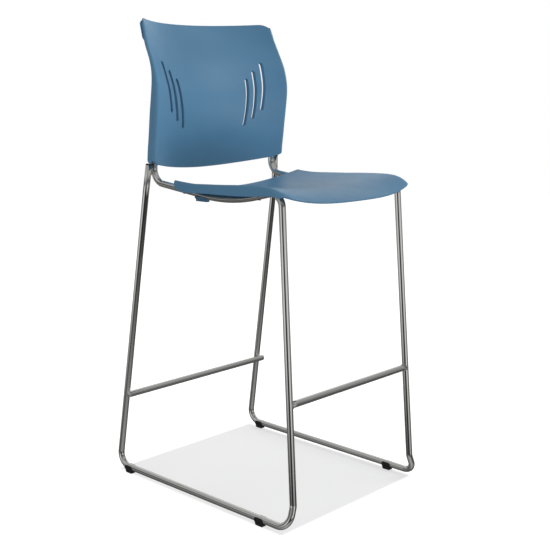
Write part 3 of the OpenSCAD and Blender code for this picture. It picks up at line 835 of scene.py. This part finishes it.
# ---------------------------------------------------------------- floor, surroundings and light
def floor():
    me = bpy.data.meshes.new("floor")
    n, rmax = 64, 7.0
    verts, faces = [(0, 0, 0)], []
    radii = [0.4, 0.8, 1.3, 2.0, 3.2, 5.0, rmax]
    for rr in radii:
        verts += [(rr * math.cos(2 * math.pi * k / n), rr * math.sin(2 * math.pi * k / n), 0) for k in range(n)]
    for k in range(n):
        faces.append((0, 1 + k, 1 + (k + 1) % n))
    for i in range(len(radii) - 1):
        a, b = 1 + i * n, 1 + (i + 1) * n
        for k in range(n):
            g = (k + 1) % n
            faces.append((a + k, b + k, b + g, a + g))
    me.from_pydata(verts, [], faces)
    m, nt, p = new_mat("pale_floor")
    back_face = node(nt, "ShaderNodeNewGeometry")
    nt.nodes.remove(p)
    out = nt.nodes["Material Output"]
    # painted shadow: the floor's glow is dimmed from 0.97 to 0.62 in a soft-edged patch under the stool, between the
    # runners
    sep = node(nt, "ShaderNodeSeparateXYZ")
    nt.links.new(coords(nt), sep.inputs[0])
    shade = None
    for axis, centre, half in (("X", 0.0, 0.245), ("Y", 0.011, 0.295)):
        off = node(nt, "ShaderNodeMath", operation="SUBTRACT")
        nt.links.new(sep.outputs[axis], off.inputs[0])
        off.inputs[1].default_value = centre
        far = node(nt, "ShaderNodeMath", operation="ABSOLUTE")
        nt.links.new(off.outputs[0], far.inputs[0])
        edge = node(nt, "ShaderNodeMapRange", interpolation_type="SMOOTHSTEP")
        for k, v in (("From Min", half - 0.008), ("From Max", half + 0.008), ("To Min", 1.0), ("To Max", 0.0)):
            edge.inputs[k].default_value = v
        nt.links.new(far.outputs[0], edge.inputs["Value"])
        if shade is None:
            shade = edge.outputs["Result"]
        else:
            both = node(nt, "ShaderNodeMath", operation="MULTIPLY")
            nt.links.new(shade, both.inputs[0])
            nt.links.new(edge.outputs["Result"], both.inputs[1])
            shade = both.outputs[0]
    # painted shadow strength: full glow outside the patch, dimmer inside it
    painted_shadow_level = node(nt, "ShaderNodeMapRange")
    for k, v in (("To Min", 0.97), ("To Max", 0.62)):
        painted_shadow_level.inputs[k].default_value = v
    nt.links.new(shade, painted_shadow_level.inputs["Value"])
    seen = node(nt, "ShaderNodeBsdfDiffuse", Color=(0.25, 0.25, 0.25, 1))
    glow = node(nt, "ShaderNodeEmission", Color=(1, 1, 1, 1))
    nt.links.new(painted_shadow_level.outputs["Result"], glow.inputs["Strength"])
    shown = node(nt, "ShaderNodeAddShader")
    nt.links.new(seen.outputs[0], shown.inputs[0])
    nt.links.new(glow.outputs[0], shown.inputs[1])
    clear = node(nt, "ShaderNodeBsdfTransparent")
    last = node(nt, "ShaderNodeMixShader")
    nt.links.new(back_face.outputs["Backfacing"], last.inputs[0])
    nt.links.new(shown.outputs[0], last.inputs[1])
    nt.links.new(clear.outputs[0], last.inputs[2])
    nt.links.new(last.outputs[0], out.inputs["Surface"])
    me.materials.append(m)
    o = bpy.data.objects.new("floor", me)
    scene.collection.objects.link(o)
    # the world's lower half stands for the floor in reflections and in its light
    o.visible_diffuse = o.visible_glossy = o.visible_transmission = o.visible_shadow = False


floor()


# ---- the studio around the stool: rows from straight down to straight up, each with places around (degrees from the camera, plus to its right) and brightness
CAM_AZ = math.atan2(-1.71996, -1.78205)
STUDIO = [
    (-0.6, [(0, 0.39), (120, 0.1), (240, 0.08)]),
    (-0.36, [(0, 0.02), (22, 0.02), (50, 0.02), (90, 0.02), (135, 0.03), (180, 0.03), (225, 0.18), (270, 0.03), (310, 0.06), (338, 0.02)]),
    (-0.19, [(0, 0.02), (12, 0.02), (26, 0.53), (50, 0.74), (80, 0.03), (115, 0.29), (180, 0.31), (245, 0.27), (280, 0.43), (310, 0.75), (334, 0.02), (348, 0.02)]),
    (-0.04, [(0, 0.02), (22, 0.47), (50, 0.74), (90, 0.24), (135, 0.19), (180, 0.03), (225, 0.36), (270, 0.03), (310, 0.81), (338, 0.02)]),
    (0.1, [(0, 0.06), (50, 0.33), (90, 0.18), (135, 0.3), (180, 0.18), (225, 0.36), (270, 0.05), (310, 0.5), (338, 0.11)]),
    (0.2, [(0, 0.08), (50, 0.06), (90, 0.14), (135, 0.48), (180, 0.92), (225, 0.45), (270, 0.06), (310, 0.27)]),
    (0.6, [(0, 0.23), (60, 0.47), (120, 0.29), (180, 0.6), (240, 0.31), (300, 0.6)]),
    (0.95, [(0, 0.34)]),
]


def surroundings():
    w = bpy.data.worlds.new("studio")
    scene.world = w
    w.use_nodes = True
    nt = w.node_tree
    bg = nt.nodes["Background"]
    out = nt.nodes["World Output"]
    tc = node(nt, "ShaderNodeTexCoord")
    sep = node(nt, "ShaderNodeSeparateXYZ")
    nt.links.new(tc.outputs["Generated"], sep.inputs[0])
    ang = node(nt, "ShaderNodeMath", operation="ARCTAN2")
    nt.links.new(sep.outputs["Y"], ang.inputs[0])
    nt.links.new(sep.outputs["X"], ang.inputs[1])
    turn = node(nt, "ShaderNodeMath", operation="MULTIPLY_ADD")
    nt.links.new(ang.outputs[0], turn.inputs[0])
    turn.inputs[1].default_value = 1 / (2 * math.pi)
    turn.inputs[2].default_value = 1 - CAM_AZ / (2 * math.pi)
    part = node(nt, "ShaderNodeMath", operation="FRACT")
    nt.links.new(turn.outputs[0], part.inputs[0])
    last = None
    for i, (z, knots) in enumerate(STUDIO):
        r = node(nt, "ShaderNodeValToRGB")
        r.name = "studio_%d" % i
        nt.links.new(part.outputs[0], r.inputs["Fac"])
        row = knots + [(360, knots[0][1])]
        el = r.color_ramp.elements
        for k, (deg, c) in enumerate(row):
            q = el[0] if k == 0 else el[len(el) - 1] if k == len(row) - 1 else el.new(deg / 360)
            q.position = deg / 360
            q.color = (c / 2, c / 2, c / 2, 1)
        if last is not None:
            step = node(nt, "ShaderNodeMapRange")
            step.inputs["From Min"].default_value = STUDIO[i - 1][0]
            step.inputs["From Max"].default_value = z
            nt.links.new(sep.outputs["Z"], step.inputs["Value"])
            mix = node(nt, "ShaderNodeMix", data_type="RGBA")
            nt.links.new(step.outputs["Result"], mix.inputs[0])
            nt.links.new(last, mix.inputs[6])
            nt.links.new(r.outputs["Color"], mix.inputs[7])
            last = mix.outputs[2]
        else:
            last = r.outputs["Color"]
    nt.links.new(last, bg.inputs["Color"])
    bg.inputs["Strength"].default_value = 2.0
    white = node(nt, "ShaderNodeBackground", Color=(1, 1, 1, 1), Strength=1.0)
    lp = node(nt, "ShaderNodeLightPath")
    mix = node(nt, "ShaderNodeMixShader")
    nt.links.new(lp.outputs["Is Camera Ray"], mix.inputs[0])
    nt.links.new(bg.outputs[0], mix.inputs[1])
    nt.links.new(white.outputs[0], mix.inputs[2])
    nt.links.new(mix.outputs[0], out.inputs["Surface"])


surroundings()


def panel(name, at, to, w, h, power, colour=(1, 1, 1)):
    d = bpy.data.lights.new(name, "AREA")
    d.shape = "RECTANGLE"
    d.size, d.size_y = w, h
    d.energy = power
    d.color = colour
    o = bpy.data.objects.new(name, d)
    scene.collection.objects.link(o)
    o.location = at
    o.rotation_euler = (Vector(to) - Vector(at)).to_track_quat("-Z", "Y").to_euler()
    return o


# soft fill from the right, the left and behind
for name, at, to, power in (("fill_right", (1.8, -3.1, 0.5), (0, 0.1, 0.9), 42), ("fill_left", (-3.3, -1.2, 0.9), (0, 0, 0.8), 34), ("fill_back", (1.0, 3.4, 2.2), (0, 0, 0.8), 65),
                            ("fill_far_right", (3.6, 0.2, 1.2), (0, 0, 0.9), 65), ("fill_right_high", (2.2, -2.2, 3.2), (0, 0, 0.8), 52)):
    panel(name, at, to, 1.8, 1.8, power).visible_glossy = False
